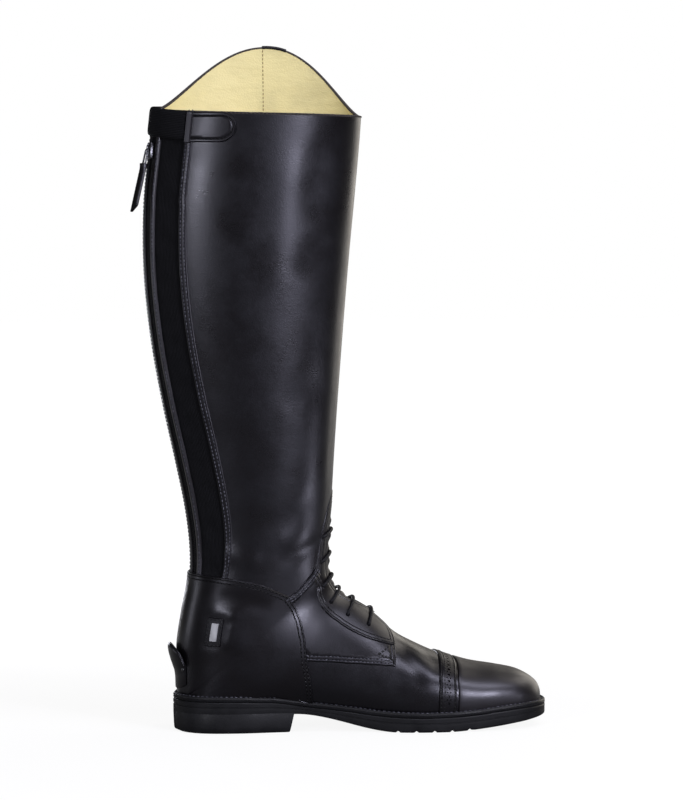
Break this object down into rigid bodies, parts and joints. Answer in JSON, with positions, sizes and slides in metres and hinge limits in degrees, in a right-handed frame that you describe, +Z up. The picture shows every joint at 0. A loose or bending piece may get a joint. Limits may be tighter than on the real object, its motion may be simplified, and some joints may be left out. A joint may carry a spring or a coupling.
{
  "type": "tall laced field boot",
  "caption": "Tall left-foot riding boot in black leather, laced at the instep, with a zip and elastic gusset up the back, a toe cap and a low heel.",
  "frame": {"origin": "on the floor under the middle of the heel, where the heel's flat underside rests", "axes": "+X towards the toe, +Y towards the lateral side, +Z up the shaft"},
  "size_m": [0.3122, 0.0987, 0.5075],
  "materials": {
    "black_leather": "semi-gloss, fine grain",
    "sole_rubber": "satin",
    "lining_leather": "matte, pale yellow",
    "black_elastic": "matte woven",
    "lace_cord": "matte woven cord",
    "bright_metal": "polished"
  },
  "bodies": {
    "boot": {"upper": "black_leather", "toe_cap": "black_leather", "heel_counter": "black_leather", "tongue": "black_leather", "snap_tab": "black_leather", "side_strip": "black_leather", "spur_rest": "black_leather", "outsole": "sole_rubber", "heel": "sole_rubber", "welt": "sole_rubber", "spur_patch_medial": "sole_rubber", "spur_patch_lateral": "sole_rubber", "insole": "lining_leather", "zip": "black_elastic", "elastic_gusset": "black_elastic", "collar_band": "black_elastic", "zip_slider": "bright_metal", "lace_bar_1": "lace_cord", "lace_bar_2": "lace_cord", "lace_bar_3": "lace_cord", "lace_bar_4": "lace_cord", "lace_bar_5": "lace_cord", "lace_bar_6": "lace_cord"},
    "zip_pull": {"zip_pull_link": "bright_metal", "zip_pull_tab": "black_leather"}
  },
  "joints": [
    {"name": "zip_pull_swing", "type": "hinge", "parent": "boot", "child": "zip_pull", "pos_m": [-0.0565, -0.01372, 0.43149], "axis": [-0.3577, 0.9339, 0], "range_deg": [0, 100]}
  ]
}
